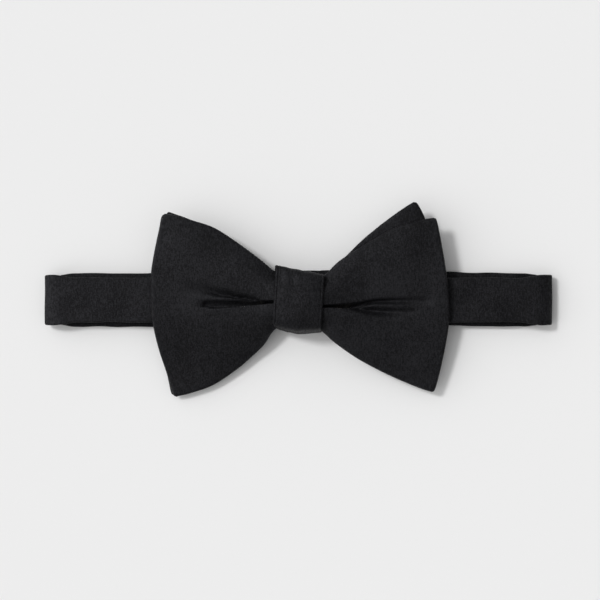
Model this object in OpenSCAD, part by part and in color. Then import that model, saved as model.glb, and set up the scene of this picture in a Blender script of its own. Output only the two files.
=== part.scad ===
// Pre-tied bow tie on an adjustable neckband, lying on its back with the band folded flat.
// X runs along the band, Y runs up the knot, Z is up. The table is at Z = 0.

/* [Bow] */
// Length of the front bow from wing to wing
bow_w = 119; // [100:1:130]
// Height from the upper corner of the back wing to the lower corner of the front wing
bow_h = 78; // [72:1:84]
// Height of the gathered waist
waist_h = 19; // [14:0.5:21]
// How far the corners of the front wings lie inside their widest place
corner_in = 5; // [3:0.5:8]
// Height of the upper corners of the front wings above the centre line
front_top_y = 33.4; // [30:0.2:36]
// How far the lower edges sit higher on the back wings
back_lift = 5; // [3:0.5:8]
// How far the back wing's upper corner lies inside the front wing's
back_in = 8; // [4:0.5:10]
// Thickness of a satin face or lining with its turned seam
satin_t = 0.5; // [0.3:0.1:0.6]
// Thickness of the woven interlining
interlining_t = 0.5; // [0.3:0.1:0.6]

/* [Knot] */
// Width of the knot wrap along the band
knot_w = 19.4; // [16:0.2:24]
// Height of the knot wrap
knot_h = 27.4; // [26:0.2:30]
// Top of the knot above the table
knot_top = 16.4; // [15.6:0.2:18]
// How far the knot leans along the band from its lower to its upper edge
knot_lean = 1.5; // [0:0.1:3]
// Number of turns of thread that gather the waist
thread_turns = 5; // [3:1:7]

/* [Neckband] */
// Overall length of the folded band
band_len = 204; // [190:1:220]
// Width of the front run
front_w = 18.2; // [16:0.2:19]
// Width of the band where it bends
fold_w = 19.8; // [18:0.2:20.4]
// Width of the back runs
strap_w = 21.6; // [20:0.2:22]
// Thickness of the band
band_t = 1.3; // [1:0.1:1.5]
// Height of the folded band above the table
fold_h = 6.9; // [6.9:0.1:7]

/* [Clasp and adjuster] */
// Width of the band where it turns round the clasp's bars
turn_w = 21; // [18:0.5:22]
// Thickness of the single band in the adjuster
tape_t = 0.7; // [0.5:0.1:0.7]
// Radius of the wire in the clasp
wire_r = 0.7; // [0.6:0.05:0.7]
// Where the eye's bar sits along the band
eye_x = -46; // [-50:1:-44]
// Length of the eye
eye_len = 9; // [8:0.5:9]
// Clear space between the eye and the hook's tongue
clasp_gap = 1.3; // [1:0.1:2]
// Where the slider's middle bar sits along the band
slider_x = 29; // [26:1:30]
// Travel of the hook, which is half the slider's
hook_travel = 25; // [10:1:25]

/* [Hidden] */
$fn = 48;

satin = [0.035, 0.035, 0.04];
satin_lining = [0.05, 0.05, 0.055];
canvas = [0.80, 0.77, 0.68];
black_thread = [0.09, 0.09, 0.10];
steel = [0.72, 0.72, 0.74];

gap = 0.3;
curve_steps = 10;

// Heights of the layers
fold_r = fold_h / 2;
fold_x = band_len / 2 - fold_r;
front_z = fold_h - band_t;
back_bow_z = fold_h + 2 * gap;
bow_t = 2 * satin_t + interlining_t;
front_bow_z = back_bow_z + bow_t + gap;
gather_top = knot_top - 2.0;
gather_w = 15;
half_waist = waist_h / 2;

// Knot wrap
wrap_t = 0.7;
wrap_in_t = 0.5;
knot_base = front_z - 0.2 - wrap_t - wrap_in_t;
knot_corner = 4.2;

// Where the wings leave the gathered waist, clear of the wrap
waist_x = 4;
neck_x = (knot_w + knot_lean) / 2 + 0.4;
neck_y = knot_h / 2 - wrap_t - wrap_in_t - 0.5;

// Clasp and adjuster
loop_in = wire_r + 0.1;
loop_out = loop_in + tape_t;
bar_z = loop_out;
tape_z = 2 * loop_out - tape_t;
ring_w = turn_w + 5;
rail_w = 1.8;
plate_t = 0.8;
tongue_x = 11.5;
tongue_r = 1.5;
hook_x = eye_x + eye_len + wire_r + clasp_gap + tongue_x + tongue_r;
fold_end = fold_x - 3.5;
ramp_start = fold_end - 2;
ramp_end = fold_end - 9;
free_end = hook_x + hook_travel + 6;
slider_bar_r = 0.35;
slider_bar_z = 1.05;
slider_loop_r = 1.0;
slider_len = 11;
core_t = 0.5;
core_in = 0.8;

// A point on a curve from a to c that is pulled towards b
function bend(a, b, c, t) = (1 - t) * (1 - t) * a + 2 * t * (1 - t) * b + t * t * c;
function curve(a, b, c) = [for (i = [0:curve_steps - 1]) bend(a, b, c, i / curve_steps)];

// Outline of a wing on the +X side, from the waist's top round the free edge to the waist's bottom.
// belly is its widest place, rise and fall shape the upper and lower edges.
function wing(top, low, belly, rise, fall) = concat(
    [[waist_x, half_waist]],
    curve([neck_x, neck_y], [28, rise], top),
    curve(top, [2 * belly - (top[0] + low[0]) / 2, 6], low),
    curve(low, [26, -fall], [neck_x, -neck_y]),
    [[neck_x, -neck_y], [waist_x, -half_waist]]
);

// The same wing on the -X side
function flip(points) = [for (i = [len(points) - 1:-1:0]) [-points[i][0], points[i][1]]];

half_w = bow_w / 2;
half_h = bow_h / 2;
corner_x = half_w - corner_in;
front_right = wing([corner_x, front_top_y - 0.6], [corner_x - 0.6, 2 - half_h], half_w, 26, 28);
front_left = wing([corner_x - 0.5, front_top_y + 0.6], [corner_x - 5, -half_h], half_w - 1, 29, 33);
back_right = wing([corner_x - back_in, half_h], [corner_x - 3, back_lift - half_h], half_w - 3, 24, 26);
back_left = wing([corner_x - 3, front_top_y - 1], [corner_x - 7, back_lift - half_h], half_w - 4, 27, 29);

module bow_panel(left, right, z, t) {
    translate([0, 0, z]) linear_extrude(t) polygon(concat(right, flip(left)));
}

module front_bow_face() {
    face_z = front_bow_z + satin_t + interlining_t;
    color(satin) {
        bow_panel(front_left, front_right, face_z, satin_t);
        // Pleats pressed together under the knot
        translate([-gather_w / 2, -half_waist + 1.5, face_z])
            cube([gather_w, waist_h - 3, gather_top - 0.4 - face_z]);
    }
}

module front_bow_interlining() {
    color(canvas) bow_panel(front_left, front_right, front_bow_z + satin_t, interlining_t);
}

module front_bow_lining() {
    color(satin_lining) bow_panel(front_left, front_right, front_bow_z, satin_t);
}

module back_bow_face() {
    color(satin) bow_panel(back_left, back_right, back_bow_z + satin_t + interlining_t, satin_t);
}

module back_bow_interlining() {
    color(canvas) bow_panel(back_left, back_right, back_bow_z + satin_t, interlining_t);
}

module back_bow_lining() {
    color(satin_lining) bow_panel(back_left, back_right, back_bow_z, satin_t);
}

// A closed band round the X axis: outer size, wall and corner radius
module ring_round_x(w, h, z0, z1, wall, corner, lean = 0) {
    multmatrix([[1, lean / h, 0, 0], [0, 1, 0, 0], [0, 0, 1, 0], [0, 0, 0, 1]])
        translate([-w / 2, 0, 0])
            rotate([90, 0, 90])
                linear_extrude(w)
                    difference() {
                        rounded(h, z0, z1, corner);
                        rounded(h - 2 * wall, z0 + wall, z1 - wall, max(corner - wall, 0.2));
                    }
}

module rounded(h, z0, z1, corner) {
    translate([-h / 2 + corner, z0]) square([h - 2 * corner, z1 - z0]);
    translate([-h / 2, z0 + corner]) square([h, z1 - z0 - 2 * corner]);
    for (y = [-h / 2 + corner, h / 2 - corner], z = [z0 + corner, z1 - corner])
        translate([y, z]) circle(corner);
}

module waist_thread() {
    pitch = 1.1;
    color(black_thread)
        for (i = [0:thread_turns - 1])
            translate([(i - (thread_turns - 1) / 2) * pitch, 0, 0])
                ring_round_x(0.4, waist_h + 1.2, fold_h + 0.1, gather_top, 0.3, 0.4);
}

module knot_wrap() {
    color(satin) ring_round_x(knot_w, knot_h, knot_base, knot_top, wrap_t, knot_corner, knot_lean);
}

module knot_interlining() {
    color(canvas)
        ring_round_x(knot_w - 2, knot_h - 2 * wrap_t, knot_base + wrap_t, knot_top - wrap_t,
                     wrap_in_t, knot_corner - wrap_t, knot_lean);
}

// A row of short stitches laid on a face, along X or along Y
module stitches(from, to, count, size) {
    for (i = [0:count - 1])
        translate(from + (to - from) * i / (count - 1)) cube(size, center = true);
}

module knot_stitches() {
    z = knot_base - 0.1;
    color(black_thread) stitches([-7, 2, z], [7, 2, z], 8, [0.3, 1.6, 0.2]);
}

// A flat run of cloth between two places along X
module run(x0, x1, w, z, t) {
    translate([x0, -w / 2, z]) cube([x1 - x0, w, t]);
}

module neckband_front() {
    color(satin)
        difference() {
            run(-fold_x, fold_x, front_w, front_z, band_t);
            run(-fold_x - 1, fold_x + 1, front_w - 2 * core_in, front_z + (band_t - core_t) / 2, core_t);
        }
}

module neckband_interlining() {
    color(canvas)
        run(-fold_x + 2, fold_x - 2, front_w - 2 * core_in, front_z + (band_t - core_t) / 2, core_t);
}

// Half a turn of the band round its bend line, with the first of the back run
module fold(side) {
    color(satin)
        mirror([side < 0 ? 1 : 0, 0, 0]) {
            translate([fold_x, 0, fold_r])
                rotate([90, 0, 0])
                    linear_extrude(fold_w, center = true)
                        difference() {
                            circle(fold_r);
                            circle(fold_r - band_t);
                            translate([-2 * fold_r, -fold_r]) square(2 * fold_r);
                        }
            run(fold_end, fold_x, fold_w, 0, band_t);
        }
}

module fold_left() { fold(-1); }
module fold_right() { fold(1); }

// A loop of the band round a bar, open inside for it
module turn(x, z, r_in, r_out, w) {
    translate([x, 0, z])
        rotate([90, 0, 0])
            difference() {
                cylinder(r = r_out, h = w, center = true);
                cylinder(r = r_in, h = w + 1, center = true);
            }
}

module bore(x, z, r) {
    translate([x, 0, z]) rotate([90, 0, 0]) cylinder(r = r, h = 2 * strap_w, center = true);
}

// The fixed back run: its end turns back round the eye's bar and is sewn down
module strap_left() {
    hem = 8;
    color(satin)
        difference() {
            union() {
                run(-fold_end, eye_x - hem, strap_w, 0, band_t);
                run(eye_x - hem - 0.1, eye_x, turn_w, 0, tape_t);
                run(eye_x - hem, eye_x, turn_w, tape_t, tape_z - tape_t + 0.2);
                turn(eye_x, bar_z, loop_in, loop_out, turn_w);
            }
            bore(eye_x, bar_z, loop_in);
            run(-fold_end - 1, eye_x - hem - 2, strap_w - 2 * core_in, (band_t - core_t) / 2, core_t);
        }
}

module strap_left_interlining() {
    color(canvas)
        run(-fold_end + 2, eye_x - 11, strap_w - 2 * core_in, (band_t - core_t) / 2, core_t);
}

module eye_bartack() {
    x = eye_x - 5;
    z = tape_z + 0.3;
    color(black_thread) stitches([x, -8.5, z], [x, 8.5, z], 12, [1.6, 0.3, 0.2]);
}

// A rectangular wire ring on a bar along Y that tips down to the table at its free end
module eye() {
    w = ring_w - 2 * wire_r;
    color(steel)
        translate([eye_x, 0, bar_z])
            rotate([0, asin((bar_z - wire_r) / eye_len), 0]) {
                for (x = [0, eye_len])
                    translate([x, 0, 0]) rotate([90, 0, 0]) cylinder(r = wire_r, h = w, center = true);
                for (s = [-1, 1], x = [0, eye_len])
                    translate([x, s * w / 2, 0]) sphere(wire_r);
                for (s = [-1, 1])
                    translate([0, s * w / 2, 0]) rotate([0, 90, 0]) cylinder(r = wire_r, h = eye_len);
            }
}

// A blank woven label on the neck side of the fixed back run
module size_label() {
    label_l = 14;
    label_x = eye_x - 26;
    color(satin_lining) run(label_x, label_x + label_l, 12, band_t, 0.25);
}

// The adjustable back run rises off the table after the bend, to make room for its own return
module strap_right() {
    color(satin)
        rotate([90, 0, 0])
            linear_extrude(strap_w, center = true)
                polygon([
                    [fold_end, 0], [fold_end, band_t], [ramp_start, band_t], [ramp_end, tape_z + tape_t],
                    [free_end, tape_z + tape_t], [free_end, tape_z], [ramp_end, tape_z], [ramp_start, 0]
                ]);
}

// The stretch of the back run that grows shorter as the hook is drawn in
module free_run() {
    color(satin) run(hook_x, free_end, turn_w, tape_z, tape_t);
}

module hook_turn() {
    color(satin)
        difference() {
            turn(hook_x, bar_z, loop_in, loop_out, turn_w);
            translate([hook_x, -turn_w, 0]) cube([5, 2 * turn_w, 5]);
        }
}

module return_run() {
    color(satin) run(hook_x, slider_x - 3, turn_w, 0, tape_t);
}

// The bent tongue of the hook: out, up and back over the plate
module hook_tongue(length, bend_r, w) {
    rotate([90, 0, 0])
        linear_extrude(w, center = true)
            difference() {
                union() {
                    square([length + 1, 2 * bend_r]);
                    translate([0, bend_r]) circle(bend_r);
                }
                translate([0, bend_r]) circle(bend_r - plate_t);
                translate([0, plate_t]) square([length + 2, 2 * (bend_r - plate_t)]);
                translate([length - 0.5, plate_t]) square([2, 2 * bend_r]);
            }
}

// Bar in the turn of the band, side rails, a flat plate and the tongue
module hook() {
    color(steel) {
        translate([hook_x, 0, bar_z])
            rotate([90, 0, 0]) cylinder(r = wire_r, h = ring_w, center = true);
        for (s = [-1, 1])
            translate([hook_x, s * (ring_w - rail_w) / 2 - rail_w / 2, 0]) {
                translate([-5, 0, 0]) cube([5 + wire_r, rail_w, plate_t]);
                translate([-wire_r, 0, 0]) cube([2 * wire_r, rail_w, bar_z]);
            }
        run(hook_x - 6.5, hook_x - 3.5, ring_w, 0, plate_t);
        translate([hook_x - tongue_x, 0, 0]) hook_tongue(5, tongue_r, 8);
    }
}

// Side rails, two outer bars over the free run and a middle bar under it
module slider() {
    foot = 0.3;
    bar_t = 0.5;
    top = tape_z + tape_t + 0.2;
    color(steel) {
        for (s = [-1, 1])
            translate([slider_x - slider_len / 2, s * (ring_w - rail_w) / 2 - rail_w / 2, foot])
                cube([slider_len, rail_w, top + bar_t - foot]);
        for (x = [-slider_len / 2, slider_len / 2 - rail_w])
            run(slider_x + x, slider_x + x + rail_w, ring_w, top, bar_t);
        translate([slider_x, 0, slider_bar_z])
            rotate([90, 0, 0]) cylinder(r = slider_bar_r, h = ring_w - 1, center = true);
    }
}

module slider_loop() {
    color(satin)
        difference() {
            union() {
                turn(slider_x, slider_bar_z, slider_bar_r + 0.05, slider_loop_r, turn_w);
                run(slider_x - 3, slider_x - 0.5, turn_w, 0.05, 1.5);
            }
            bore(slider_x, slider_bar_z, slider_bar_r + 0.05);
        }
}

module slider_bartack() {
    x = slider_x - 2;
    z = 1.65;
    color(black_thread) stitches([x, -8.5, z], [x, 8.5, z], 12, [1.2, 0.3, 0.2]);
}

front_bow_face();
front_bow_interlining();
front_bow_lining();
back_bow_face();
back_bow_interlining();
back_bow_lining();
waist_thread();
knot_wrap();
knot_interlining();
knot_stitches();
neckband_front();
neckband_interlining();
fold_left();
fold_right();
strap_left();
strap_left_interlining();
eye_bartack();
eye();
size_label();
strap_right();
free_run();
hook_turn();
hook();
return_run();
slider();
slider_loop();
slider_bartack();
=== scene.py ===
"""Black satin bow tie, lying on its back: cloth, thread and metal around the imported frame.

Shapes are in millimetres.
"""

import math

import bmesh
import bpy
import numpy as np
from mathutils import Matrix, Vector


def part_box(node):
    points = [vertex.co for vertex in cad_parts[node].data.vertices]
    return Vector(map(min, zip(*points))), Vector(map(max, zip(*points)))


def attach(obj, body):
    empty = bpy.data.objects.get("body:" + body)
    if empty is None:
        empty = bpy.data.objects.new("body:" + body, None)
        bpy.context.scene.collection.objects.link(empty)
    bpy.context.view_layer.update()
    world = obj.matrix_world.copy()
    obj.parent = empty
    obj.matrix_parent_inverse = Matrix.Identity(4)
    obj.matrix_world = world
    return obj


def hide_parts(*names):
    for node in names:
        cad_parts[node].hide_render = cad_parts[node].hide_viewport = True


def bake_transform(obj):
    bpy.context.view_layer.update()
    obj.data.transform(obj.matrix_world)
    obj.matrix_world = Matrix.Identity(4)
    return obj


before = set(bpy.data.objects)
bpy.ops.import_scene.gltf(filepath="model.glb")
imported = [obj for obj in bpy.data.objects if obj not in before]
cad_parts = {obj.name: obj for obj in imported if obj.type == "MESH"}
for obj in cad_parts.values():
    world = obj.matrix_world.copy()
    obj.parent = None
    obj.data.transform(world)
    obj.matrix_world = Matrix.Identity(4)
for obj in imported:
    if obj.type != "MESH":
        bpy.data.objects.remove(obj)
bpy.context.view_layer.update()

MM = 0.001


def box_mm(node):
    """Lowest and highest corner of a CAD node, in millimetres."""
    low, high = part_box(node)
    return np.array(low) / MM, np.array(high) / MM


# ------------------------------------------------------------------ dimensions from the frame
BAND_LOW, BAND_HIGH = box_mm("neckband_front")
_, FOLD_HIGH = box_mm("fold_right")
STRAP_LOW, _ = box_mm("strap_right")
KNOT_LOW, KNOT_HIGH = box_mm("knot_wrap")
EYE_LOW, _ = box_mm("eye")
SLIDER_LOW, SLIDER_HIGH = box_mm("slider")
TURN_LOW, TURN_HIGH = box_mm("hook_turn")
LABEL_LOW, LABEL_HIGH = box_mm("size_label")
THREAD_LOW, THREAD_HIGH = box_mm("waist_thread")

BAND_T = BAND_HIGH[2] - BAND_LOW[2]
BAND_Z = (BAND_HIGH[2] + BAND_LOW[2]) / 2
BEND_X = BAND_HIGH[0]
BEND_Z = BAND_HIGH[2] / 2
BEND_R = BEND_Z - BAND_T / 2
BAND_CLEARANCE = 0.3  # between the band and the bow that slides over it
BAND_EDGE_Y = 10.2  # past this the bow may hang lower than the band
TAPE_T = 0.7  # the single band
EYE_WIRE_R = 0.7
PIECE_JOINT_X = 54  # where the front run passes into the two others, under the wings
BACK_RUN_W = 20.2  # at the folds, before the back runs grow wider
LEFT_THIN_X = 14  # how far before the eye the left run grows thin
TURN_X = TURN_HIGH[0]
TURN_Z = (TURN_HIGH[2] + TURN_LOW[2]) / 2
TURN_R = TURN_Z - TAPE_T / 2
TURN_W = TURN_HIGH[1] - TURN_LOW[1]
EYE_BAR_X = EYE_LOW[0] + EYE_WIRE_R
SLIDER_X = (SLIDER_LOW[0] + SLIDER_HIGH[0]) / 2
STRAP_END_X = STRAP_LOW[0]


# ------------------------------------------------------------------ small maths
def smooth(t):
    t = np.clip(t, 0, 1)
    return t * t * (3 - 2 * t)


def table(x, xs, ys):
    """A smooth curve through the few values that describe a fold or an edge."""
    x = np.asarray(x, float)
    xs, ys = np.asarray(xs, float), np.asarray(ys, float)
    i = np.clip(np.searchsorted(xs, x, side="right") - 1, 0, len(xs) - 2)
    part = (x - xs[i]) / (xs[i + 1] - xs[i])
    t = smooth(part) * 0.5 + np.clip(part, 0, 1) * 0.5
    return ys[i] + (ys[i + 1] - ys[i]) * t


def through(points, count):
    """count points, evenly spaced, on a smooth curve through points."""
    p = np.asarray(points, float)
    p = np.vstack([2 * p[0] - p[1], p, 2 * p[-1] - p[-2]])
    fine = []
    for i in range(1, len(p) - 2):
        t = np.linspace(0, 1, 24, endpoint=False)[:, None]
        a, b, c, d = p[i - 1], p[i], p[i + 1], p[i + 2]
        fine.append(
            0.5 * (2 * b + (c - a) * t + (2 * a - 5 * b + 4 * c - d) * t**2 + (3 * b - a - 3 * c + d) * t**3)
        )
    fine = np.vstack(fine + [p[-2:-1]])
    along = np.concatenate([[0], np.cumsum(np.linalg.norm(np.diff(fine, axis=0), axis=1))])
    want = np.asarray(count) * along[-1] if np.ndim(count) else np.linspace(0, along[-1], count)
    return np.stack([np.interp(want, along, fine[:, k]) for k in range(fine.shape[1])], axis=1)


def ripple(x, y, scale, seed):
    """Gentle waves without any regular pattern, about -1 to 1, scale millimetres long."""
    r = np.random.default_rng(seed)
    total = np.zeros(np.broadcast(x, y).shape)
    for _ in range(7):
        a = r.uniform(0, 2 * math.pi)
        k = 2 * math.pi / (scale * r.uniform(0.6, 1.7))
        phase = r.uniform(0, 6.28)
        total = total + np.sin(k * (x * math.cos(a) + y * math.sin(a)) + phase)
    return total / 3.5


# ------------------------------------------------------------------ meshes
def build(name, verts, faces, material, smooth_shade=True):
    mesh = bpy.data.meshes.new(name)
    points = [tuple(v) for v in np.asarray(verts) * MM]
    mesh.from_pydata(points, [], [tuple(int(i) for i in f) for f in faces])
    mesh.update()
    if smooth_shade:
        mesh.polygons.foreach_set("use_smooth", [True] * len(mesh.polygons))
    obj = bpy.data.objects.new(name, mesh)
    bpy.context.scene.collection.objects.link(obj)
    mesh.materials.append(material)
    return obj


def grid_faces(n, m, base=0, flip=False, wrap=False):
    i, j = np.meshgrid(np.arange(n - 1), np.arange(m if wrap else m - 1), indexing="ij")
    a = base + i * m + j
    b = base + i * m + (j + 1) % m
    c = base + (i + 1) * m + (j + 1) % m
    d = base + (i + 1) * m + j
    order = (a, d, c, b) if not flip else (a, b, c, d)
    return np.stack(order, axis=-1).reshape(-1, 4)


def normals(p):
    du = np.gradient(p, axis=0)
    dv = np.gradient(p, axis=1)
    n = np.cross(du, dv)
    return n / np.maximum(np.linalg.norm(n, axis=2, keepdims=True), 1e-9)


def shell(name, outer, thickness, material, up=True):
    """A closed sheet of cloth: outer is the grid of its good side, up says that the good side looks up."""
    n, m, _ = outer.shape
    nor = normals(outer)
    if (nor[..., 2].mean() < 0) == up:
        nor = -nor
    inner = outer - nor * thickness
    verts = np.vstack([outer.reshape(-1, 3), inner.reshape(-1, 3)])
    top = grid_faces(n, m)
    faces = [top, top[:, [0, 3, 2, 1]] + n * m]
    ring = np.concatenate(
        [
            np.arange(m),
            np.arange(1, n) * m + m - 1,
            (n - 1) * m + np.arange(m - 2, -1, -1),
            np.arange(n - 2, 0, -1) * m,
        ]
    )
    nxt = np.roll(ring, -1)
    faces.append(np.stack([ring, nxt, nxt + n * m, ring + n * m], axis=1))
    # cut into triangles the same way in every layer, so that a layer never shows through the one above it
    quads = np.vstack(faces)
    obj = build(name, verts, np.vstack([quads[:, [0, 1, 2]], quads[:, [0, 2, 3]]]), material)
    fix_normals(obj)
    return obj


def fix_normals(obj):
    bm = bmesh.new()
    bm.from_mesh(obj.data)
    bmesh.ops.recalc_face_normals(bm, faces=bm.faces)
    bm.to_mesh(obj.data)
    bm.free()


TABLE_GAP = 0.02  # between the table and the lowest cloth


def tube(name, rings, material, closed=False):
    """Skin over rings of points, shape (n, m, 3), with flat ends or closed into a loop.

    It rests on the table.
    """
    n, m, _ = rings.shape
    rings[..., 2] = np.maximum(rings[..., 2], TABLE_GAP)
    faces = [list(f) for f in grid_faces(n, m, wrap=True)]
    if closed:
        last = (n - 1) * m
        faces += [[last + j, j, (j + 1) % m, last + (j + 1) % m] for j in range(m)]
    else:
        faces += [list(range(m)), [(n - 1) * m + j for j in range(m - 1, -1, -1)]]
    obj = build(name, rings.reshape(-1, 3), faces, material)
    fix_normals(obj)
    # the flat ends don't bend the shading of the strip
    cap_edges = {key for face in obj.data.polygons if len(face.vertices) > 4 for key in face.edge_keys}
    for edge in obj.data.edges:
        edge.use_edge_sharp = edge.key in cap_edges
    return obj


def length_along(path):
    return np.concatenate([[0], np.cumsum(np.linalg.norm(np.diff(path, axis=0), axis=1))])


def strip_section(width, thickness, count=56):
    """Outline of a folded strip of cloth: (across, out) pairs round a flat tube with soft edges."""
    r = thickness / 2
    flat = width / 2 - r
    side = count // 2 - 7
    arc = np.linspace(math.pi / 2, -math.pi / 2, 9)[1:-1]
    # more points close to the edges than in the middle
    s = np.sin(np.linspace(-1, 1, side) * math.pi / 2) * flat
    top = np.stack([s, np.full(side, r)], axis=1)
    right = np.stack([flat + r * np.cos(arc), r * np.sin(arc)], axis=1)
    low = np.stack([s[::-1], np.full(side, -r)], axis=1)
    left = np.stack([-flat - r * np.cos(arc[::-1]), r * np.sin(arc[::-1])], axis=1)
    return np.vstack([top, right, low, left])


def ribbon(name, path, width, thickness, shift, material, seam=0.12, seed=1, origin=0.0):
    """A folded strip of cloth along path, points (x, z).

    Its left side looks out of the loop, where the seam isn't. The waves of the cloth are counted
    from origin, so that two strips can share them.
    """
    path = np.asarray(path, float)
    n = len(path)
    tangent = np.gradient(path, axis=0)
    tangent /= np.linalg.norm(tangent, axis=1, keepdims=True)
    out = np.stack([-tangent[:, 1], tangent[:, 0]], axis=1)
    along = origin + length_along(path)
    width, thickness, shift = (np.broadcast_to(v, n) for v in (width, thickness, shift))
    rings = []
    for k in range(n):
        sec = strip_section(width[k], thickness[k])
        y, o = sec[:, 0].copy(), sec[:, 1].copy()
        inner = o < 0
        # the back seam, and cloth that isn't perfectly flat
        o[inner] += seam * np.exp(-((y[inner] / 0.35) ** 2))
        half = width[k] / 2
        wave = 0.10 * ripple(along[k], y, 16, seed) * (1 - (np.abs(y) / half) ** 2 * 0.3)
        # the single band stays flat, clear of the metal parts it turns round
        o = o + np.where(thickness[k] > 0.9, wave, 0)
        edge_wave = 0.16 * ripple(along[k], np.sign(y) * 30.0, 13, seed + 5)
        y = y + np.sign(y) * edge_wave * (np.abs(y) / half) ** 3
        rings.append(
            np.stack([path[k, 0] + out[k, 0] * o, y + shift[k], path[k, 1] + out[k, 1] * o], axis=1)
        )
    return tube(name, np.array(rings), material)


def arc_points(cx, cz, r, start, end, count):
    a = np.radians(np.linspace(start, end, count))
    return np.stack([cx + r * np.cos(a), cz + r * np.sin(a)], axis=1)


def line_points(a, b, step=1.0):
    count = max(2, int(np.hypot(b[0] - a[0], b[1] - a[1]) / step))
    return np.stack([np.linspace(a[0], b[0], count), np.linspace(a[1], b[1], count)], axis=1)


def join_paths(*parts):
    out = [parts[0]]
    for p in parts[1:]:
        out.append(p[1:] if np.allclose(p[0], out[-1][-1], atol=1e-6) else p)
    return np.vstack(out)


# ------------------------------------------------------------------ materials
class Nodes:
    """A short way to write a node material."""

    def __init__(self, name):
        self.mat = bpy.data.materials.new(name)
        self.mat.use_nodes = True
        self.tree = self.mat.node_tree
        self.bsdf = self.tree.nodes["Principled BSDF"]

    def add(self, kind, **settings):
        node = self.tree.nodes.new(kind)
        for key, value in settings.items():
            if key.startswith("in_"):
                node.inputs[key[3:].replace("_", " ")].default_value = value
            else:
                setattr(node, key, value)
        return node

    def link(self, a, b):
        self.tree.links.new(a, b)

    def maths(self, operation, a, b):
        node = self.add("ShaderNodeMath", operation=operation)
        for socket, value in zip(node.inputs, (a, b)):
            if isinstance(value, (int, float)):
                socket.default_value = value
            else:
                self.link(value, socket)
        return node.outputs[0]

    def ramp(self, value, low, high, out_low, out_high):
        node = self.add("ShaderNodeMapRange")
        self.link(value, node.inputs["Value"])
        for key, v in (("From Min", low), ("From Max", high), ("To Min", out_low), ("To Max", out_high)):
            node.inputs[key].default_value = v
        return node.outputs["Result"]

    def noise(self, vector, scale, detail=2.0, rough=0.5):
        node = self.add("ShaderNodeTexNoise", in_Scale=scale, in_Detail=detail, in_Roughness=rough)
        self.link(vector, node.inputs["Vector"])
        return node.outputs["Fac"]

    def threads(self, vector, per_metre, direction, wobble=0.6):
        node = self.add("ShaderNodeTexWave", wave_type="BANDS", bands_direction=direction)
        node.inputs["Scale"].default_value = per_metre / 20 * math.pi
        node.inputs["Distortion"].default_value = wobble
        node.inputs["Detail"].default_value = 1.5
        node.inputs["Detail Scale"].default_value = 1.2
        self.link(vector, node.inputs["Vector"])
        return node.outputs["Fac"]


def cloth_material(name, dark, light, rough, sheen, weave_mm, bump, specular):
    """Woven cloth: threads both ways, slubs and specks in the yarn, and slow changes of tone."""
    m = Nodes(name)
    coords = m.add("ShaderNodeTexCoord").outputs["Object"]
    per_metre = 1 / (weave_mm * MM)
    warp = m.threads(coords, per_metre, "X")
    weft = m.threads(coords, per_metre * 0.8, "Y")
    drawn = m.add("ShaderNodeMapping", in_Scale=(2000, 600, 900))
    m.link(coords, drawn.inputs["Vector"])
    slub = m.noise(drawn.outputs["Vector"], 1.0, 3, 0.65)
    speck = m.noise(coords, 1900, 2, 0.75)
    cloud = m.noise(coords, 60, 2, 0.5)
    weave = m.maths("ADD", m.maths("MULTIPLY", warp, 0.65), m.maths("MULTIPLY", weft, 0.35))
    yarn = m.maths("ADD", m.maths("MULTIPLY", slub, 0.5), m.maths("MULTIPLY", speck, 0.5))
    tone = m.maths("ADD", m.maths("MULTIPLY", yarn, 0.85), m.maths("MULTIPLY", weave, 0.15))
    tone = m.maths("ADD", tone, m.maths("MULTIPLY", m.maths("SUBTRACT", cloud, 0.5), 0.2))
    mix = m.add("ShaderNodeMix", data_type="RGBA")
    m.link(m.ramp(tone, 0.45, 0.58, 0.0, 1.0), mix.inputs["Factor"])
    mix.inputs["A"].default_value = (*dark, 1)
    mix.inputs["B"].default_value = (*light, 1)
    m.link(mix.outputs["Result"], m.bsdf.inputs["Base Color"])
    m.link(m.ramp(tone, 0.42, 0.62, rough + 0.13, rough - 0.11), m.bsdf.inputs["Roughness"])
    m.bsdf.inputs["Specular IOR Level"].default_value = specular
    m.bsdf.inputs["Specular Tint"].default_value = (0.93, 0.93, 1.0, 1)
    m.bsdf.inputs["Sheen Weight"].default_value = sheen
    m.bsdf.inputs["Sheen Roughness"].default_value = 0.45
    height = m.maths("ADD", m.maths("MULTIPLY", weave, 0.35), m.maths("MULTIPLY", yarn, 1.3))
    b = m.add("ShaderNodeBump", in_Strength=bump, in_Distance=0.00012)
    m.link(height, b.inputs["Height"])
    m.link(b.outputs["Normal"], m.bsdf.inputs["Normal"])
    return m.mat


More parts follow.
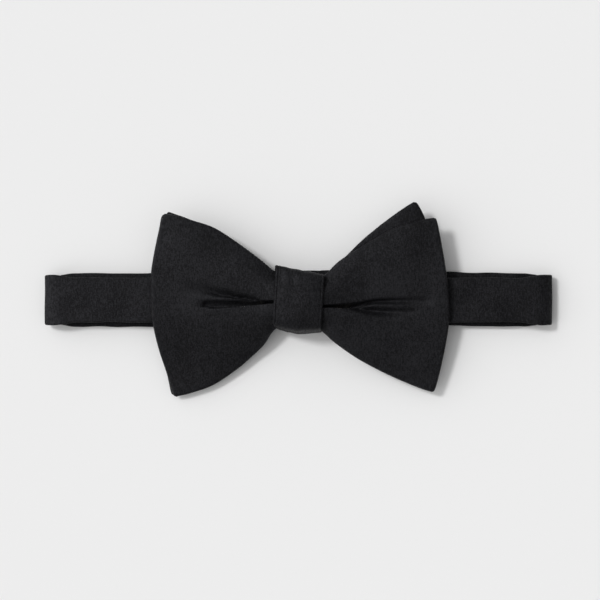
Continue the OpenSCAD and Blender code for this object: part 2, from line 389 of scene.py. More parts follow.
def nickel_material():
    """Nickel plate with fine rub marks and a few duller patches."""
    m = Nodes("nickel plate")
    coords = m.add("ShaderNodeTexCoord").outputs["Object"]
    stretch = m.add("ShaderNodeMapping", in_Scale=(60, 900, 900))
    m.link(coords, stretch.inputs["Vector"])
    rub = m.noise(stretch.outputs["Vector"], 1.0, 4, 0.6)
    patch = m.noise(coords, 220, 3, 0.6)
    mix = m.add("ShaderNodeMix", data_type="RGBA")
    m.link(m.ramp(patch, 0.35, 0.7, 0.0, 1.0), mix.inputs["Factor"])
    mix.inputs["A"].default_value = (0.60, 0.60, 0.61, 1)
    mix.inputs["B"].default_value = (0.44, 0.43, 0.41, 1)
    m.link(mix.outputs["Result"], m.bsdf.inputs["Base Color"])
    m.bsdf.inputs["Metallic"].default_value = 1.0
    wear = m.maths("ADD", rub, m.maths("MULTIPLY", patch, 0.5))
    m.link(m.ramp(wear, 0.5, 1.1, 0.18, 0.42), m.bsdf.inputs["Roughness"])
    b = m.add("ShaderNodeBump", in_Strength=0.25, in_Distance=0.00002)
    m.link(rub, b.inputs["Height"])
    m.link(b.outputs["Normal"], m.bsdf.inputs["Normal"])
    return m.mat


def thread_material():
    """Twisted polyester thread, a little shinier than the cloth."""
    m = Nodes("black thread")
    coords = m.add("ShaderNodeTexCoord").outputs["Object"]
    turn = m.add("ShaderNodeMapping")
    turn.inputs["Rotation"].default_value = (0.3, 0.2, math.radians(38))
    m.link(coords, turn.inputs["Vector"])
    ply = m.threads(turn.outputs["Vector"], 5200, "X", 0.3)
    fuzz = m.noise(coords, 4200, 2, 0.6)
    mix = m.add("ShaderNodeMix", data_type="RGBA")
    m.link(m.maths("MULTIPLY", ply, fuzz), mix.inputs["Factor"])
    mix.inputs["A"].default_value = (0.004, 0.004, 0.0045, 1)
    mix.inputs["B"].default_value = (0.035, 0.035, 0.038, 1)
    m.link(mix.outputs["Result"], m.bsdf.inputs["Base Color"])
    m.link(m.ramp(fuzz, 0.3, 0.7, 0.35, 0.6), m.bsdf.inputs["Roughness"])
    b = m.add("ShaderNodeBump", in_Strength=0.5, in_Distance=0.00004)
    m.link(ply, b.inputs["Height"])
    m.link(b.outputs["Normal"], m.bsdf.inputs["Normal"])
    return m.mat


SATIN = cloth_material(
    "black satin", dark=(0.0002, 0.0002, 0.0003), light=(0.0120, 0.0120, 0.0136),
    rough=0.57, sheen=0.0, weave_mm=0.19, bump=1.0, specular=0.16,
)
LINING = cloth_material(
    "black lining", dark=(0.0006, 0.0006, 0.0008), light=(0.0045, 0.0045, 0.0052),
    rough=0.66, sheen=0.0, weave_mm=0.36, bump=0.7, specular=0.18,
)
CANVAS = cloth_material(
    "interlining canvas", dark=(0.38, 0.34, 0.26), light=(0.66, 0.61, 0.50),
    rough=0.85, sheen=0.2, weave_mm=0.55, bump=0.8, specular=0.2,
)
LABEL = cloth_material(
    "woven label", dark=(0.004, 0.004, 0.005), light=(0.03, 0.03, 0.033),
    rough=0.5, sheen=0.1, weave_mm=0.22, bump=0.6, specular=0.3,
)
THREAD = thread_material()
NICKEL = nickel_material()


# ------------------------------------------------------------------ the wings
INSIDE_X = 3.4  # how near to the middle a wing begins, inside the knot

# Each wing is described with x outward from the knot, so both sides read alike.
WINGS = {
    "front_left": dict(
        neck=(-9.0, 9.0),
        top=[(9.6, 11.6), (15.4, 16.3), (24.6, 23.1), (33.4, 28.7), (41.8, 31.6), (48.9, 33.7), (53.2, 34.3)],
        outer=[
            (53.2, 34.3), (54.5, 33.0), (55.4, 28.6), (57.2, 20.2), (58.7, 11), (58.9, 0),
            (58.3, -9), (56.2, -19.5), (53.2, -29), (50.6, -37.6), (49.2, -38.9),
        ],
        low=[
            (9.6, -12.0), (13.8, -18.0), (19.2, -23.2), (24.6, -27.8),
            (34.2, -34.2), (43.3, -37.5), (49.2, -38.9),
        ],
    ),
    "front_right": dict(
        neck=(-8.4, 7.6),
        top=[
            (9.9, 9.7), (16, 15.4), (24.5, 20.9), (31.5, 25.2),
            (38, 28.6), (45, 31.0), (51, 32.3), (53.8, 32.7),
        ],
        outer=[
            (53.8, 32.7), (55.0, 31.6), (56.6, 24.4), (58.6, 13.1), (60.0, 2),
            (60.2, -8), (58.7, -19), (56.4, -30), (54.7, -36.0), (53.4, -36.9),
        ],
        low=[
            (9.6, -12.8), (14.6, -17.2), (23, -23.1), (31.5, -27.8),
            (39.9, -31.8), (48.9, -35.5), (53.4, -36.9),
        ],
    ),
    "back_left": dict(
        neck=(-8.4, 8.4),
        top=[(9.6, 10.6), (20, 18), (33, 26.8), (43, 32.0), (50.4, 34.7)],
        outer=[
            (50.4, 34.7), (52.6, 34.3), (55.6, 25), (57.2, 8), (56.8, -8),
            (54.6, -22), (52.3, -33.4), (51.3, -37.6), (50.2, -38.4),
        ],
        low=[(9.6, -11.2), (22, -22.6), (35, -32.0), (50.2, -38.4)],
    ),
    "back_right": dict(
        neck=(-8.6, 7.4),
        top=[
            (9.9, 9.4), (13.6, 12.2), (19.1, 17.7), (25.3, 23.8),
            (32, 29.4), (38.8, 34.5), (43.2, 37.5), (45.8, 39.0),
        ],
        outer=[
            (45.8, 39.0), (47.6, 38.2), (50.9, 31.5), (54.6, 20), (56.4, 6),
            (56.2, -8), (53.8, -22), (51.2, -31.4), (49.8, -32.6),
        ],
        low=[(9.6, -11.2), (20, -19), (35, -27), (49.8, -32.6)],
    ),
}


def coons(wing, us, vs):
    """Plan of a wing as a grid.

    u runs from inside the knot to the free edge, v from the lower edge to the upper.
    """
    neck_low, neck_top = wing["neck"]
    top = through([(INSIDE_X, neck_top), *wing["top"]], us)
    low = through([(INSIDE_X, neck_low), *wing["low"]], us)
    outer = through(wing["outer"][::-1], vs)
    neck = np.stack([np.full(len(vs), INSIDE_X), neck_low + (neck_top - neck_low) * vs], axis=1)
    u, v = us[:, None, None], vs[None, :, None]
    grid = (1 - v) * low[:, None] + v * top[:, None] + (1 - u) * neck[None] + u * outer[None]
    corners = (1 - u) * (1 - v) * low[0] + u * (1 - v) * low[-1] + (1 - u) * v * top[0] + u * v * top[-1]
    return grid - corners


def gaps(plan, wing):
    """How far each point of the plan lies from the upper, the free and the lower edge of the wing."""
    pts = plan.reshape(-1, 2)
    out = []
    neck_low, neck_top = wing["neck"]
    lines = [(INSIDE_X, neck_top), *wing["top"]], wing["outer"], [(INSIDE_X, neck_low), *wing["low"]]
    for line in lines:
        dense = through(line, 170)
        best = np.full(len(pts), 1e9)
        for a, b in zip(dense[:-1], dense[1:]):
            along = np.clip(((pts - a) @ (b - a)) / ((b - a) @ (b - a)), 0, 1)
            best = np.minimum(best, np.linalg.norm(pts - a - along[:, None] * (b - a), axis=1))
        out.append(best.reshape(plan.shape[:2]))
    return out


def nearest(parts, soft=0.35):
    """The smallest of the gaps, rounded where two edges meet."""
    d = -soft * np.log(sum(np.exp(-part / soft) for part in parts))
    return np.clip(d, 0, None)


def valley(x, y, centre, depth, above, below, sharp=True):
    """A crease along the wing.

    Each table gives x against its deepest line, its depth or its reach up or down.
    """
    gap = y - table(x, *centre)
    q = np.abs(gap) / np.where(gap > 0, table(x, *above), table(x, *below))
    d = np.where(x < depth[0][0], depth[1][0], np.where(x > depth[0][-1], 0, table(x, *depth)))
    steep = 0.12 * np.log(1 + np.exp((1 - np.minimum(q, 2) ** 2.4) / 0.12))
    return d * (steep if sharp else np.exp(-(q ** 1.7)))


def creases_left(x, y):
    """A deep pocket that ends bluntly, and a softer fold above it."""
    lower = valley(
        x, y,
        centre=([3, 10, 17, 25, 34, 38, 44], [-0.8, -0.9, -1.4, -2.1, -2.5, -2.4, -2.3]),
        depth=([10, 17, 25, 35.6, 38.8, 41], [3.9, 4.2, 4.4, 4.0, 0.6, 0.0]),
        above=([3, 10, 17, 25, 34, 44], [0.7, 0.8, 1.2, 2.0, 2.4, 2.2]),
        below=([3, 10, 25, 44], [0.35, 0.35, 0.45, 0.6]),
    )
    upper = valley(
        x, y,
        centre=([14, 17, 22.5, 30, 37, 46], [-0.5, 0.0, 1.0, 2.3, 3.7, 5.2]),
        depth=([14, 18, 24, 31, 38, 47], [0.0, 2.4, 3.3, 2.9, 1.5, 0.0]),
        above=([14, 22, 30, 38, 47], [0.6, 0.9, 1.3, 2.2, 3.1]),
        below=([14, 22, 30, 38, 47], [0.4, 0.5, 0.8, 1.4, 2.0]), sharp=False,
    )
    return np.maximum(lower, upper) + 0.35 * np.minimum(lower, upper)


def creases_right(x, y):
    """A long crease with a softer hollow under it."""
    upper = valley(
        x, y,
        centre=([3, 10, 14, 20, 24, 28, 31, 38, 55], [-2.5, -2.6, -2.6, -2.8, -2.9, -1.2, -0.5, -0.2, -0.3]),
        depth=([10, 18, 26, 33, 40, 48, 55], [3.9, 4.2, 4.0, 2.8, 1.9, 0.9, 0.0]),
        above=([3, 10, 14, 20, 24, 28, 31, 38, 55], [0.7, 0.7, 0.8, 1.5, 2.1, 1.2, 1.0, 1.0, 1.4]),
        below=([3, 10, 20, 24, 28, 33, 40, 55], [0.35, 0.35, 0.4, 0.5, 0.9, 1.4, 1.8, 2.2]),
    )
    lower = valley(
        x, y,
        centre=([20, 24, 28, 33, 38, 50], [-3.0, -3.5, -4.1, -4.5, -4.7, -4.6]),
        depth=([19, 24, 29, 35, 42, 51], [0.0, 2.6, 3.2, 2.5, 1.4, 0.0]),
        above=([18, 24, 30, 40, 50], [0.5, 0.7, 1.1, 1.4, 1.9]),
        below=([18, 24, 30, 40, 50], [0.6, 1.0, 1.5, 2.2, 2.8]), sharp=False,
    )
    return (upper ** 3 + lower ** 3) ** (1 / 3) + 0.15 * np.minimum(upper, lower)


def undercut(side, x, creases, inside):
    """How far the bottom of a crease reaches under its lower lip."""
    end = 33 if side == "left" else 20
    return 0.9 * smooth((creases - 1.2) / 2.6) * smooth(inside / 3) * (1 - smooth((x - end) / 5))


def creases_back(x, y):
    reach = ([3, 10, 30, 45], [1.2, 1.2, 2.2, 3.2])
    centre = ([3, 10, 25, 45], [0.0, 0.0, 0.6, 0.9])
    depth = ([10, 20, 30, 42], [1.6, 1.2, 0.7, 0.0])
    return valley(x, y, centre, depth, reach, reach, sharp=False)


EDGE_R = 1.0  # the turned edge of a wing
LAYER_GAP = 0.25  # between the back bow and the front one
CREASE_DIP = 1.6  # how far the lining follows the deepest crease
SEAM_Z = 10.1  # the seam of a front wing, by the knot
LAYER_STEP = 1.85  # from there down to the seam of the back wing


def round_edge(parts):
    """0 on the seam round a wing, rising like a quarter circle to 1 at EDGE_R inside it."""
    return np.sqrt(1 - (1 - np.clip(nearest(parts) / EDGE_R, 0, 1)) ** 2)


def seam_height(side, x, y):
    """The seam round a front wing: level by the knot, tilted farther out.

    It hangs lower past the band's lower edge.
    """
    tilt = smooth((x - 10) / 40) * (0.045 * y - 0.5)
    if side == "left":
        return SEAM_Z + tilt * smooth((y + 16) / 20) - 7.1 / (1 + np.exp((y + 14) / 5))
    return SEAM_Z + tilt - 0.34 * np.log(1 + np.exp((-2 - y) / 4))


def above_band(y, height):
    """The least height of a layer that lies on the band, and may hang lower past the band's edges."""
    return height - 1.2 * np.clip(np.abs(y) - BAND_EDGE_Y, 0, (height - 0.15) / 1.2)


def front_heights(side, plan, parts):
    """The undercut of its creases and the heights of the good side and the lining of a front wing."""
    x, y = plan[..., 0], plan[..., 1]
    inside = nearest(parts, 1.2)
    edge = seam_height(side, x, y)
    creases = creases_left(x, y) if side == "left" else creases_right(x, y)
    roll = round_edge(parts)
    plump = 0.75 + 2.7 * np.exp(-np.clip(x - 9, 0, None) / 19) + 0.8 * np.exp(-np.clip(x - 9, 0, None) / 3.5)
    reach = 4.5 + 6.0 * smooth((x - 8) / 34)
    lobe = plump
    for part, share in zip(parts, (1.0, 1.25, 1.0)):
        lobe = lobe * (1 - np.exp(-1.3 * (part / (reach * share)) ** 1.5))
    middle = -0.9 if side == "left" else -2.0
    hollow = 0.7 * np.exp(-np.clip(x - 9, 0, None) / 15) * np.exp(-(((y - middle) / 3.2) ** 2))
    # the turnings inside the seam end a few millimetres in from the edge
    turning = 0.05 * (1 - smooth((inside - 5.6) / 1.8)) * smooth((x - 14) / 8)
    turning = turning * (0.6 + 0.6 * ripple(x, y, 40, 3))
    cloth = 0.16 * ripple(x, y, 30, 11 if side == "left" else 23) * smooth(inside / 8)
    top = edge + 0.95 * roll + lobe - hollow + cloth + turning * roll
    # the whole wing is pinched at a crease, so the lining dips there too
    pinch = smooth(creases / 2.6) * smooth(inside / 3)
    low = edge - 0.55 * roll - 0.12 * smooth(inside / 8) - CREASE_DIP * pinch
    least = BAND_HIGH[2] + BAND_CLEARANCE + 0.95 * (1 - smooth((x - 53) / 4))
    low = np.maximum(low, above_band(y, least))
    # a crease is never deeper than the padding of the wing allows
    room, soft = np.maximum(top - low - 0.75, 0.05), 0.2
    depth = -soft * np.log(np.exp(-creases / soft) + np.exp(-room / soft))
    depth = depth + soft * np.log(1 + np.exp(-room / soft))
    top = top - depth * smooth(inside / 3)
    if side == "left":
        # the small dent under the knot's lower left corner
        top = top - 1.4 * np.exp(-(((x - 10.6) / 1.6) ** 2 + ((y + 10.2) / 1.5) ** 2))
    # under the wrap the cloth is squeezed flat, and tightest under the thread
    squeeze = 1 - smooth((x - 6.0) / 4.5)
    held = 14.2 - (y / 9.5) ** 2 * 2.2 - 0.5 * (1 - smooth((x - 2.5) / 2.0))
    held = held - 2.0 * smooth((x - 4) / 4) * np.exp(-(((y - middle) / 0.8) ** 2))
    top = top * (1 - squeeze) + np.minimum(top, held) * squeeze
    top = np.maximum(top, low + 0.8 * roll)
    return undercut(side, x, creases, inside), top, low


def back_heights(side, plan, parts, front_low):
    """Heights of the good side and the lining of a back wing, which stays under the front one."""
    x, y = plan[..., 0], plan[..., 1]
    inside = nearest(parts, 1.2)
    edge = seam_height(side, x, y) - LAYER_STEP
    roll = round_edge(parts)
    lobe = 0.35 * (1 - np.exp(-((inside / 7) ** 1.6)))
    if side == "right":
        # free of the front wing above its upper edge, where it lifts a little
        lobe = lobe + 0.5 * smooth((y - 0.62 * x - 6) / 10) * smooth(inside / 4)
    cloth = 0.10 * ripple(x, y, 26, 31) * smooth(inside / 6)
    top = edge + 0.62 * roll + lobe - creases_back(x, y) * 0.3 * smooth(inside / 4) + cloth
    top = np.minimum(top, front_low - LAYER_GAP)
    low = np.minimum(edge - 0.55 * roll, top - 0.95 * roll)
    low = np.maximum(low, above_band(y, BAND_HIGH[2] + BAND_CLEARANCE))
    top = np.maximum(top, low + 0.7 * roll)
    return top, low


def axis_samples(count, clustered):
    s = np.linspace(0, 1, count)
    if clustered == "both":
        t = 2 * s - 1
        return (0.55 * t + 0.45 * np.sin(t * math.pi / 2) + 1) / 2
    return 0.6 * s + 0.4 * np.sin(s * math.pi / 2)


def both_wings(left, right, steps=7):
    """One grid through the waist, from the left free edge to the right one."""
    left = left[::-1].copy()
    left[..., 0] *= -1
    t = np.linspace(0, 1, steps + 2)[1:-1, None, None]
    waist = left[-1][None] * (1 - smooth(t)) + right[0][None] * smooth(t)
    waist[..., 0] = (left[-1][None] * (1 - t) + right[0][None] * t)[..., 0]
    return np.concatenate([left, waist, right], axis=0)


def wing_grids(layer, us, vs):
    out = {}
    for side in ("left", "right"):
        wing = WINGS[f"{layer}_{side}"]
        plan = coons(wing, us, vs)
        parts = gaps(plan, wing)
        if layer == "front":
            under, top, low = front_heights(side, plan, parts)
            plan = plan - np.stack([np.zeros_like(under), under], axis=2)
        else:
            _, _, front_low = front_heights(side, plan, [np.full(plan.shape[:2], 9.0)] * 3)
            top, low = back_heights(side, plan, parts, front_low)
        out[side] = plan, top, low
    return out


def stack(plan, z):
    return np.concatenate([plan, z[..., None]], axis=2)


def make_bow(layer, count_u, count_v):
    us, vs = axis_samples(count_u, "end"), axis_samples(count_v, "both")
    g = wing_grids(layer, us, vs)
    good = both_wings(*[stack(g[s][0], g[s][1]) for s in ("left", "right")])
    back = both_wings(*[stack(g[s][0], g[s][2]) for s in ("left", "right")])
    face = shell(f"{layer}_bow_satin", good, 0.22, SATIN, up=True)
    lining = shell(f"{layer}_bow_lining_satin", back, 0.22, LINING, up=False)
    # the interlining lies between them, cut a little smaller
    middle = both_wings(*[stack(g[s][0], g[s][2] + 0.36)[:-3, 4:-4] for s in ("left", "right")])
    inter = shell(f"{layer}_bow_canvas", middle, 0.12, CANVAS, up=True)
    return face, lining, inter


FRONT = make_bow("front", 92, 125)
BACK = make_bow("back", 60, 81)


# ------------------------------------------------------------------ the knot
KNOT_W = 19.4
KNOT_HALF_H = 12.5  # about half its height, before KNOT_TOP and KNOT_FOOT shape it
WRAP_T = 1.3
# upper and lower edge of the knot across its width: it was pulled a little askew
KNOT_TOP = ([-9.7, -4, 2.4, 10], [13.8, 12.9, 11.5, 10.2])
KNOT_FOOT = ([-9.7, -7, -4, 0, 4, 10], [-11.0, -12.2, -13.2, -13.75, -13.65, -13.0])


def knot_loop(count):
    """The way round the knot as (across, z): flat behind, domed in front, across from -1 to 1."""
    a = np.linspace(0, 2 * math.pi, 4 * count, endpoint=False)
    mid_z = (KNOT_LOW[2] + KNOT_HIGH[2]) / 2
    half_z = (KNOT_HIGH[2] - KNOT_LOW[2] - WRAP_T) / 2
    power = np.where(np.sin(a) > 0, 2 / 4.8, 2 / 8.0)
    y = np.sign(np.cos(a)) * np.abs(np.cos(a)) ** power
    z = mid_z + half_z * np.sign(np.sin(a)) * np.abs(np.sin(a)) ** power
    # the lower side leans in towards the top
    y = np.where(y < 0, y * (1 - 0.13 * smooth((z - 6) / 9)), y)
    loop = np.stack([KNOT_HALF_H * y, z], axis=1)
    loop = np.vstack([loop, loop[:1]])
    along = length_along(loop)
    want = np.linspace(0, along[-1], count, endpoint=False)
    path = np.stack([np.interp(want, along, loop[:, k]) for k in range(2)], axis=1)
    path[:, 0] /= KNOT_HALF_H
    return path, along[-1]


def knot_rings(width, depth, thickness, detail, count=240):
    """Rings of a folded strip round the knot, depth millimetres under the wrap's good side."""
    path, length = knot_loop(count)
    flat = path * [KNOT_HALF_H, 1]
    tangent = np.roll(flat, -1, axis=0) - np.roll(flat, 1, axis=0)
    tangent /= np.linalg.norm(tangent, axis=1, keepdims=True)
    out = np.stack([tangent[:, 1], -tangent[:, 0]], axis=1)
    section = strip_section(width, thickness, 120)
    rings = []
    for k in range(count):
        x, o = section[:, 0].copy(), section[:, 1] + WRAP_T / 2 - depth - thickness / 2
        across, z0 = path[k]
        front = float(smooth((z0 - 8.5) / 5))
        y0 = KNOT_HALF_H * across
        if detail:
            good = section[:, 1] > 0
            left = x + width / 2
            # a second folded edge close to the left one
            o = o - good * front * (0.36 * np.exp(-(((left - 1.1) / 0.15) ** 2)))
            ridges = np.exp(-(((left - 0.62) / 0.25) ** 2)) + np.exp(-(((left - 1.7) / 0.35) ** 2))
            o = o + good * front * 0.10 * ridges
            right = width / 2 - x
            o = o - good * front * 0.14 * np.exp(-(((right - 1.0) / 0.22) ** 2))
            # soft pull lines from the upper left corner, and cloth that is not quite flat
            pull = np.sin(x * 1.3 + y0 * 0.16 + 0.6) * np.exp(-(((x + 5) / 6.5) ** 2)) * smooth((y0 - 1) / 9)
            o = o + front * 0.12 * pull + 0.12 * ripple(x * 1.6, y0, 11, 41)
        # the strip's edges lie a little lower than its middle
        o = o - 1.15 * out[k, 1] ** 2 * (np.abs(x) / (KNOT_W / 2)) ** 3.5
        lean = 0.055 * y0 * (0.35 + 0.65 * front)
        ring_x = x + lean
        top, foot = table(x, *KNOT_TOP) - WRAP_T / 2, table(x, *KNOT_FOOT) + WRAP_T / 2
        ring_y = (top + foot) / 2 + across * (top - foot) / 2 + out[k, 0] * o
        ring_z = z0 + out[k, 1] * o
        rings.append(np.stack([ring_x, ring_y, ring_z], axis=1))
    return np.array(rings), length


def make_knot():
    rings, length = knot_rings(KNOT_W, 0, WRAP_T, True)
    wrap = tube("knot_wrap_satin", rings, SATIN, closed=True)
    rings, _ = knot_rings(KNOT_W - 2.4, WRAP_T + 0.06, 0.4, False, count=120)
    canvas = tube("knot_canvas", rings, CANVAS, closed=True)
    return wrap, canvas, length


KNOT, KNOT_CANVAS, KNOT_LENGTH = make_knot()


def thread_turns(turns=5, pitch=1.1, radius=0.2):
    """The turns of thread that gather the waist, one fine tube joined to the next."""
    a = np.linspace(0, 2 * math.pi * turns, 60 * turns)
    cos, sin = np.cos(a), np.sin(a)
    y = (THREAD_HIGH[1] - radius) * np.sign(cos) * np.abs(cos) ** 0.85
    mid_z, half_z = (THREAD_LOW[2] + THREAD_HIGH[2]) / 2, (THREAD_HIGH[2] - THREAD_LOW[2]) / 2 - radius
    z = mid_z + half_z * np.sign(sin) * np.abs(sin) ** 0.85
    x = pitch * (a / (2 * math.pi) - turns / 2)
    centre = np.stack([x, y, z], axis=1)
    tangent = np.gradient(centre, axis=0)
    tangent /= np.linalg.norm(tangent, axis=1, keepdims=True)
    across = np.cross(tangent, (1.0, 0.0, 0.0))
    across /= np.linalg.norm(across, axis=1, keepdims=True)
    other = np.cross(tangent, across)
    q = np.linspace(0, 2 * math.pi, 10, endpoint=False)[None, :, None]
    rings = centre[:, None] + radius * (across[:, None] * np.cos(q) + other[:, None] * np.sin(q))
    return tube("waist_thread_turns", rings, THREAD, closed=False)


WAIST_THREAD = thread_turns()


# ------------------------------------------------------------------ the neckband
FOLD_REACH = 6.2  # how far from its end a fold begins to turn down
BAND_SEED = 17  # the three long pieces of the band share their waves


def front_half_width(x):
    """Half the width of the run in front, which the knot gathers a little."""
    return 8.2 + 0.75 * smooth((np.abs(x) - 40) / 12) + 1.15 * smooth((np.abs(x) - 88) / 11)


def back_half_width(x):
    """Half the width of the left back run, which its interlining is cut to fit."""
    return np.full_like(x, 10.0)


def soft_fold(side):
    """The fold at one end of the band, from the front run to the back run: wider than it is high."""
    a = np.radians(np.linspace(90, -90, 25))
    start = FOLD_HIGH[0] - FOLD_REACH
    reach = FOLD_REACH - BAND_T / 2
    x = start + reach * np.abs(np.cos(a)) ** 1.2
    return np.stack([side * x, BEND_Z + BEND_R * np.sin(a)], axis=1)


def band_centre():
    path = line_points((-PIECE_JOINT_X, BAND_Z), (PIECE_JOINT_X, BAND_Z), 1.0)
    width = 2 * front_half_width(path[:, 0])
    return ribbon("neckband_satin", path, width, BAND_T, 0.0, SATIN, seed=BAND_SEED, origin=-PIECE_JOINT_X)


def run_width(path, past):
    """Width of a run round its fold, where past is the way gone since the fold's end."""
    front = np.minimum(2 * front_half_width(path[:, 0]), BACK_RUN_W)
    return np.where(past < 0, front, BACK_RUN_W + 1.4 * smooth((past + 1) / 6))


def back_run_right():
    """From under the right wing round the fold, then along the back to the adjuster's free run."""
    bend = soft_fold(1)
    front = line_points((PIECE_JOINT_X, BAND_Z), bend[0], 0.9)
    low_z = BEND_Z - BEND_R
    climb_x, climb_end_x, high_z = 93, 86, TURN_Z + TURN_R
    flat = line_points(bend[-1], (climb_x, low_z), 0.9)
    t = np.linspace(0, 1, 10)
    climb = np.stack([climb_x + (climb_end_x - climb_x) * t, low_z + (high_z - low_z) * smooth(t)], axis=1)
    back = line_points((climb_end_x, high_z), (STRAP_END_X, high_z), 1.0)
    path = join_paths(front, bend, flat, climb, back)
    along = length_along(path)
    past = along - along[len(front) + len(bend) - 2]
    width = run_width(path, past) - np.where(past < 0, 0, 0.6 * smooth((past - 70) / 15))
    thick = np.where(past < 5, BAND_T, BAND_T - (BAND_T - TAPE_T) * smooth((past - 5) / 8))
    shift = np.where(past < 0, 0.0, 1.4 * smooth((95 - path[:, 0]) / 80))
    name = "back_run_right_satin"
    return ribbon(name, path, width, thick, shift, SATIN, seed=BAND_SEED, origin=PIECE_JOINT_X)


def back_run_left():
    """From under the left wing round the fold and back to the eye, whose bar the end is turned round."""
    bend = soft_fold(-1)
    front = line_points((-PIECE_JOINT_X, BAND_Z), bend[0], 0.9)
    low_z = BEND_Z - BEND_R
    flat = line_points(bend[-1], (EYE_BAR_X - 12, low_z), 0.9)
    t = np.linspace(0, 1, 8)
    thin = np.stack([EYE_BAR_X - 12 + 4 * t, low_z + (TAPE_T / 2 - low_z) * smooth(t)], axis=1)
    under = line_points((EYE_BAR_X - 8, TAPE_T / 2), (EYE_BAR_X, TAPE_T / 2), 0.8)
    turn = arc_points(EYE_BAR_X, TURN_Z, TURN_R, -90, 90, 15)
    t = np.linspace(0, 1, 10)
    tail = np.stack([EYE_BAR_X - 7.5 * t, TURN_Z + TURN_R - 1.15 * smooth(t)], axis=1)
    path = join_paths(front, bend, flat, thin, under, turn, tail)
    along = length_along(path)
    past = along - along[len(front) + len(bend) - 2]
    narrow = BEND_X + EYE_BAR_X - LEFT_THIN_X
    width = run_width(path, past) - 0.6 * smooth((past - narrow) / 6)
    thick = BAND_T - (BAND_T - TAPE_T) * smooth((past - narrow - 1) / 5)
    # path turns the other way on this side, so it is reversed to keep the seam inside the loop
    origin = -PIECE_JOINT_X - along[-1]
    path, width, thick = path[::-1], width[::-1], thick[::-1]
    return ribbon("back_run_left_satin", path, width, thick, 0.0, SATIN, seed=BAND_SEED, origin=origin)


def free_run():
    top = line_points((STRAP_END_X, TURN_Z + TURN_R), (TURN_X, TURN_Z + TURN_R), 0.9)
    turn = arc_points(TURN_X, TURN_Z, TURN_R, 90, 270, 15)
    path = join_paths(top, turn)
    shift = 1.4 - 1.0 * smooth((STRAP_END_X - 6 - path[:, 0]) / 20)
    return ribbon("adjuster_free_run_satin", path, TURN_W, TAPE_T, shift, SATIN, seam=0.05, seed=37)


def return_run():
    bar_z = 1.05
    low = line_points((TURN_X, TAPE_T / 2), (SLIDER_X - 1.5, TAPE_T / 2), 0.9)
    turn = arc_points(SLIDER_X, bar_z, bar_z - TAPE_T / 2, -90, 90, 13)
    t = np.linspace(0, 1, 7)
    tail = np.stack([SLIDER_X - 4 * t, 2 * bar_z - TAPE_T / 2 - 0.35 * smooth(t)], axis=1)
    path = join_paths(low, turn, tail)
    return ribbon("adjuster_return_run_satin", path, TURN_W, TAPE_T, 0.0, SATIN, seam=0.05, seed=43)


def inner_canvas(name, x0, x1, z, half_width):
    """The interlining inside a stretch of the band."""
    path = line_points((x0, z), (x1, z), 1.5)
    return ribbon(name, path, 2 * half_width(path[:, 0]) - 3.0, 0.35, 0.0, CANVAS, seam=0.0)


CENTRE = band_centre()
CENTRE_CANVAS = inner_canvas("neckband_canvas", -90, 90, BAND_Z, front_half_width)
LEFT_CANVAS = inner_canvas(
    "back_run_left_canvas", -90, EYE_BAR_X - LEFT_THIN_X, BEND_Z - BEND_R, back_half_width
)
RIGHT = back_run_right()
LEFT = back_run_left()
FREE = free_run()
RETURN = return_run()


# ------------------------------------------------------------------ stitches and label
def stitch(a, b, radius, rise, lift):
    """Rings of one stitch from a to b that dips into the cloth at both ends."""
    t = np.linspace(0, 1, 7)[:, None]
    centre = a * (1 - t) + b * t + lift * rise * (np.sin(t * math.pi) - 0.35)
    side = np.cross(b - a, lift)
    side /= np.linalg.norm(side)
    angles = np.linspace(0, 2 * math.pi, 8, endpoint=False)
    spokes = [radius * (side * math.cos(q) + lift * math.sin(q)) for q in angles]
    return np.array([[c + spoke for spoke in spokes] for c in centre])


def stitches(name, pairs, radius, rise, lift):
    verts, faces = [], []
    for a, b in pairs:
        rings = stitch(np.array(a, float), np.array(b, float), radius, rise, np.array(lift, float))
        n, m, _ = rings.shape
        base = len(verts)
        verts.extend(rings.reshape(-1, 3))
        faces += [list(f) for f in grid_faces(n, m, base, wrap=True)]
        faces += [[base + j for j in range(m)], [base + (n - 1) * m + j for j in range(m - 1, -1, -1)]]
    obj = build(name, np.array(verts), faces, THREAD)
    fix_normals(obj)
    return obj


def zigzag(x, half, z, count, reach):
    ys = np.linspace(-half, half, count)
    return [((x - reach, y, z), (x + reach, y + half / count, z)) for y in ys]


KNOT_BACK = KNOT_LOW[2]
SEAM_Z_BACK = KNOT_BACK + 0.05
SEAM_PAIRS = [((x, 1.4, SEAM_Z_BACK), (x + 0.7, 2.9, SEAM_Z_BACK)) for x in np.linspace(-7.4, 6.8, 9)]
SEAM_STITCHES = stitches("knot_seam_stitches", SEAM_PAIRS, 0.13, 0.22, (0, 0, -1))
EYE_STITCHES = stitches("eye_bartack_thread", zigzag(EYE_BAR_X - 5, 8.5, 2.2, 26, 0.9), 0.12, 0.2, (0, 0, 1))
SLIDER_PAIRS = zigzag(SLIDER_X - 2.6, 8.5, 1.85, 26, 0.7)
SLIDER_STITCHES = stitches("slider_bartack_thread", SLIDER_PAIRS, 0.12, 0.15, (0, 0, 1))


def make_label():
    (x0, y0, _), (x1, y1, _) = LABEL_LOW, LABEL_HIGH
    xs, ys = np.meshgrid(np.linspace(x0, x1, 40), np.linspace(y0, y1, 34), indexing="ij")
    edge = np.minimum.reduce([xs - x0, x1 - xs, ys - y0, y1 - ys])
    z = LABEL_LOW[2] + 0.28 + 0.05 * ripple(xs, ys, 8, 5) - 0.10 * (1 - smooth(edge / 0.8))
    return shell("size_label_tape", np.stack([xs, ys, z], axis=2), 0.2, LABEL, up=True)


LABEL_TAPE = make_label()

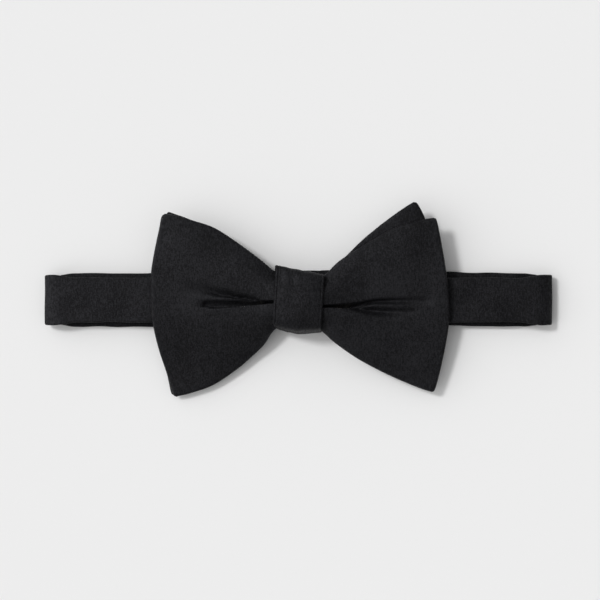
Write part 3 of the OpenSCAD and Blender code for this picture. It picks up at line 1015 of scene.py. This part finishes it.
# ------------------------------------------------------------------ bodies and nodes
for pieces, layer in ((FRONT, "front"), (BACK, "back")):
    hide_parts(f"{layer}_bow_face")
    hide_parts(f"{layer}_bow_lining")
    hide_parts(f"{layer}_bow_interlining")
    for piece in pieces:
        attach(piece, "bow")

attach(KNOT, "bow")
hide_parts("knot_wrap")
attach(KNOT_CANVAS, "bow")
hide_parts("knot_interlining")

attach(WAIST_THREAD, "bow")
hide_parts("waist_thread")

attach(SEAM_STITCHES, "bow")
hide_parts("knot_stitches")

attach(CENTRE, "band")
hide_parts("neckband_front")

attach(CENTRE_CANVAS, "band")
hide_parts("neckband_interlining")
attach(LEFT_CANVAS, "left_strap")
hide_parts("strap_left_interlining")

for piece, body, nodes, x in (
    (RIGHT, "right_strap", ("fold_right", "strap_right"), BEND_X),
    (LEFT, "left_strap", ("fold_left", "strap_left"), -BEND_X),
):
    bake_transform(piece)
    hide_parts(*nodes)

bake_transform(FREE)
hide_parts("free_run", "hook_turn")
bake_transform(RETURN)
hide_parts("return_run", "slider_loop")

for piece, body, node, slot in (
    (EYE_STITCHES, "left_strap", "eye_bartack", "thread"),
    (SLIDER_STITCHES, "slide_adjuster", "slider_bartack", "thread"),
    (LABEL_TAPE, "left_strap", "size_label", "label"),
):
    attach(piece, body)
    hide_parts(node)


def dress(nodes, material):
    for node in nodes:
        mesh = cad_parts[node].data
        mesh.materials.clear()
        mesh.materials.append(material)


dress(("eye", "hook", "slider"), NICKEL)


# ------------------------------------------------------------------ floor, light and camera
FLOOR_TONE = 0.80


def make_floor():
    m = Nodes("pale paper")
    coords = m.add("ShaderNodeTexCoord").outputs["Object"]
    grain = m.noise(coords, 700, 3, 0.6)
    mix = m.add("ShaderNodeMix", data_type="RGBA")
    m.link(grain, mix.inputs["Factor"])
    mix.inputs["A"].default_value = (FLOOR_TONE - 0.004,) * 3 + (1,)
    mix.inputs["B"].default_value = (FLOOR_TONE + 0.004,) * 3 + (1,)
    m.link(mix.outputs["Result"], m.bsdf.inputs["Base Color"])
    m.bsdf.inputs["Roughness"].default_value = 0.95
    m.bsdf.inputs["Specular IOR Level"].default_value = 0.0
    size = 4000.0
    verts = [(-size, -size, -0.02), (size, -size, -0.02), (size, size, -0.02), (-size, size, -0.02)]
    floor = build("floor", verts, [(0, 1, 2, 3)], m.mat, smooth_shade=False)


WINDOW = (-0.92, 0.15, 0.36)  # where the broad soft light comes from
SUN_FALL = (0.72, -0.42, -1.0)
SUN_STRENGTH = 1.44
SUN_SPREAD = math.radians(11)


def make_light():
    """A broad soft window at the left, a weak fill from all round, and one clearer light for the shadows."""
    scene = bpy.context.scene
    world = bpy.data.worlds.new("studio")
    world.use_nodes = True
    tree = world.node_tree
    coords = tree.nodes.new("ShaderNodeTexCoord")
    toward = tree.nodes.new("ShaderNodeVectorMath")
    toward.operation = "DOT_PRODUCT"
    toward.inputs[1].default_value = WINDOW
    tree.links.new(coords.outputs["Generated"], toward.inputs[0])
    spread = tree.nodes.new("ShaderNodeMapRange")
    spread.interpolation_type = "SMOOTHSTEP"
    for key, value in (("From Min", 0.25), ("From Max", 1.0), ("To Min", 0.36), ("To Max", 1.70)):
        spread.inputs[key].default_value = value
    tree.links.new(toward.outputs["Value"], spread.inputs["Value"])
    tree.nodes["Background"].inputs["Color"].default_value = (1, 1, 1, 1)
    tree.links.new(spread.outputs["Result"], tree.nodes["Background"].inputs["Strength"])
    scene.world = world
    sun = bpy.data.lights.new("studio_sun", "SUN")
    sun.energy = SUN_STRENGTH
    sun.angle = SUN_SPREAD
    lamp = bpy.data.objects.new("studio_sun", sun)
    scene.collection.objects.link(lamp)
    lamp.rotation_euler = Vector(SUN_FALL).to_track_quat("-Z", "Y").to_euler()
    scene.view_settings.view_transform = "Standard"
    scene.view_settings.look = "None"


FIELD = 0.240  # metres that the picture spans at the height of the object
OFF_CENTRE = 0.0006  # the object lies a little left of the middle


def make_camera():
    cam = bpy.data.cameras.new("camera")
    cam.lens = 100
    cam.sensor_width = 36
    obj = bpy.data.objects.new("camera", cam)
    bpy.context.scene.collection.objects.link(obj)
    distance = FIELD * cam.lens / cam.sensor_width
    obj.location = (OFF_CENTRE, 0.0, distance + 0.007)
    obj.rotation_euler = (0, 0, 0)
    cam.clip_start = 0.01
    cam.clip_end = 50
    bpy.context.scene.camera = obj


make_floor()
make_light()
make_camera()
